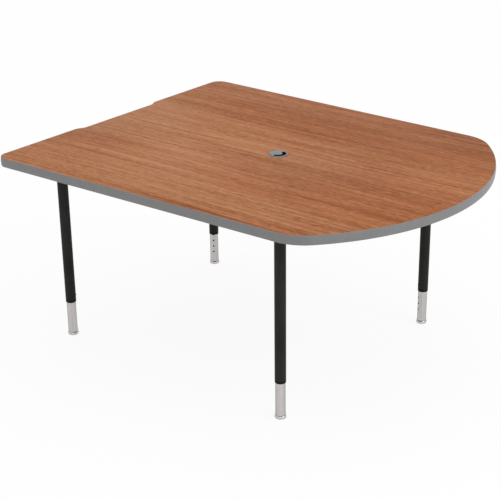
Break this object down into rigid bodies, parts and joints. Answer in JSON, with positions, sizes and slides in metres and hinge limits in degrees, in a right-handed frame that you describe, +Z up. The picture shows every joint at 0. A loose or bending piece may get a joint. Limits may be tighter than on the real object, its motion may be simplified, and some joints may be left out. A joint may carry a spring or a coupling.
{
  "type": "collaboration table",
  "caption": "Free-standing collaboration table with a bow-ended laminate top, cable notch and round cable grommet, on round telescoping legs with swivel glides.",
  "frame": {"origin": "on the floor under the middle of the top", "axes": "+X along the table from its straight end to its bowed end, +Y across it, +Z up"},
  "size_m": [1.526, 1.2172, 0.7299],
  "materials": {
    "laminate": "satin wood-pattern laminate",
    "core": "particleboard",
    "backer": "matte brown backer sheet",
    "band": "satin grey edge moulding",
    "grommet": "satin blue-grey",
    "black_paint": "fine-textured black powder coat",
    "black_plastic": "moulded black",
    "chrome": "polished plating",
    "nickel": "bright plating",
    "zinc": "zinc plated"
  },
  "bodies": {
    "table_frame": {"core_board": "core", "laminate_top": "laminate", "backer_sheet": "backer", "edge_band": "band", "grommet_liner": "grommet", "mounting_plate_end_right": "black_paint", "plate_screw_end_right_1": "zinc", "plate_screw_end_right_2": "zinc", "plate_screw_end_right_3": "zinc", "plate_screw_end_right_4": "zinc", "outer_tube_end_right": "black_paint", "guide_bush_end_right": "black_plastic", "lock_screw_end_right": "black_paint", "mounting_plate_end_left": "black_paint", "plate_screw_end_left_1": "zinc", "plate_screw_end_left_2": "zinc", "plate_screw_end_left_3": "zinc", "plate_screw_end_left_4": "zinc", "outer_tube_end_left": "black_paint", "guide_bush_end_left": "black_plastic", "lock_screw_end_left": "black_paint", "mounting_plate_bow_right": "black_paint", "plate_screw_bow_right_1": "zinc", "plate_screw_bow_right_2": "zinc", "plate_screw_bow_right_3": "zinc", "plate_screw_bow_right_4": "zinc", "outer_tube_bow_right": "black_paint", "guide_bush_bow_right": "black_plastic", "lock_screw_bow_right": "black_paint", "mounting_plate_bow_left": "black_paint", "plate_screw_bow_left_1": "zinc", "plate_screw_bow_left_2": "zinc", "plate_screw_bow_left_3": "zinc", "plate_screw_bow_left_4": "zinc", "outer_tube_bow_left": "black_paint", "guide_bush_bow_left": "black_plastic", "lock_screw_bow_left": "black_paint"},
    "insert_end_right": {"insert_tube_end_right": "chrome", "stem_socket_end_right": "black_plastic"},
    "stem_end_right": {"glide_stem_end_right": "zinc"},
    "cup_end_right": {"glide_cup_end_right": "nickel", "glide_seat_end_right": "black_plastic"},
    "insert_end_left": {"insert_tube_end_left": "chrome", "stem_socket_end_left": "black_plastic"},
    "stem_end_left": {"glide_stem_end_left": "zinc"},
    "cup_end_left": {"glide_cup_end_left": "nickel", "glide_seat_end_left": "black_plastic"},
    "insert_bow_right": {"insert_tube_bow_right": "chrome", "stem_socket_bow_right": "black_plastic"},
    "stem_bow_right": {"glide_stem_bow_right": "zinc"},
    "cup_bow_right": {"glide_cup_bow_right": "nickel", "glide_seat_bow_right": "black_plastic"},
    "insert_bow_left": {"insert_tube_bow_left": "chrome", "stem_socket_bow_left": "black_plastic"},
    "stem_bow_left": {"glide_stem_bow_left": "zinc"},
    "cup_bow_left": {"glide_cup_bow_left": "nickel", "glide_seat_bow_left": "black_plastic"},
    "grommet_cap": {"grommet_cap": "grommet"}
  },
  "joints": [
    {"name": "height_end_right", "type": "slide", "parent": "table_frame", "child": "insert_end_right", "axis": [0, 0, -1], "range_m": [-0.1016, 0.127]},
    {"name": "stem_spin_end_right", "type": "hinge", "parent": "insert_end_right", "child": "stem_end_right", "pos_m": [-0.6415, -0.4151, 0.02], "axis": [0, 0, 1], "continuous": true},
    {"name": "cup_tilt_end_right", "type": "hinge", "parent": "stem_end_right", "child": "cup_end_right", "pos_m": [-0.6415, -0.4151, 0.007], "axis": [0, 1, 0], "range_deg": [-3, 3]},
    {"name": "height_end_left", "type": "slide", "parent": "table_frame", "child": "insert_end_left", "axis": [0, 0, -1], "range_m": [-0.1016, 0.127]},
    {"name": "stem_spin_end_left", "type": "hinge", "parent": "insert_end_left", "child": "stem_end_left", "pos_m": [-0.6415, 0.4151, 0.02], "axis": [0, 0, 1], "continuous": true},
    {"name": "cup_tilt_end_left", "type": "hinge", "parent": "stem_end_left", "child": "cup_end_left", "pos_m": [-0.6415, 0.4151, 0.007], "axis": [0, 1, 0], "range_deg": [-3, 3]},
    {"name": "height_bow_right", "type": "slide", "parent": "table_frame", "child": "insert_bow_right", "axis": [0, 0, -1], "range_m": [-0.1016, 0.127]},
    {"name": "stem_spin_bow_right", "type": "hinge", "parent": "insert_bow_right", "child": "stem_bow_right", "pos_m": [0.356, -0.4472, 0.02], "axis": [0, 0, 1], "continuous": true},
    {"name": "cup_tilt_bow_right", "type": "hinge", "parent": "stem_bow_right", "child": "cup_bow_right", "pos_m": [0.356, -0.4472, 0.007], "axis": [0, 1, 0], "range_deg": [-3, 3]},
    {"name": "height_bow_left", "type": "slide", "parent": "table_frame", "child": "insert_bow_left", "axis": [0, 0, -1], "range_m": [-0.1016, 0.127]},
    {"name": "stem_spin_bow_left", "type": "hinge", "parent": "insert_bow_left", "child": "stem_bow_left", "pos_m": [0.356, 0.4472, 0.02], "axis": [0, 0, 1], "continuous": true},
    {"name": "cup_tilt_bow_left", "type": "hinge", "parent": "stem_bow_left", "child": "cup_bow_left", "pos_m": [0.356, 0.4472, 0.007], "axis": [0, 1, 0], "range_deg": [-3, 3]},
    {"name": "grommet_cap_turn", "type": "hinge", "parent": "table_frame", "child": "grommet_cap", "pos_m": [0.011, 0, 0.7277], "axis": [0, 0, 1], "continuous": true}
  ]
}
